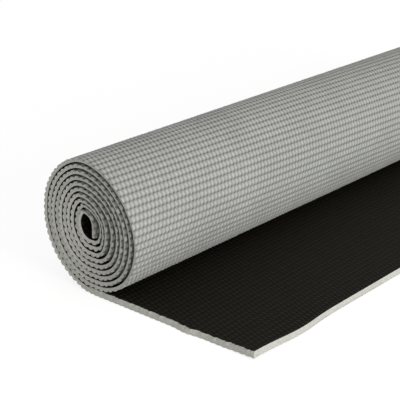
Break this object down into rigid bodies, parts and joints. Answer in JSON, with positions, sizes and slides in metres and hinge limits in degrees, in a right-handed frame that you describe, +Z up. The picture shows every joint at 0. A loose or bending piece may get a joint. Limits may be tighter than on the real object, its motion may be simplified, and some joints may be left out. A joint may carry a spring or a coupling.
{
  "type": "yoga mat",
  "caption": "Laminated foam exercise mat, wound into an oval roll with its black face inwards and its loose end laid out flat.",
  "frame": {"origin": "on the floor, at the middle of the part's outline seen from above", "axes": "+X along the roll's axis, across the mat; -Y towards the end of the loose stretch; +Z up from the floor"},
  "size_m": [0.61, 0.1908, 0.0984],
  "materials": {
    "grey_foam": "matte closed-cell foam with a moulded grid of small bumps",
    "scrim_yarn": "plain yarn net",
    "black_coat": "matte non-slip coat with a moulded grid of small bumps"
  },
  "bodies": {
    "root": {"foam_base": "grey_foam", "scrim": "scrim_yarn", "foam_top": "grey_foam", "face_coat": "black_coat"}
  },
  "joints": []
}
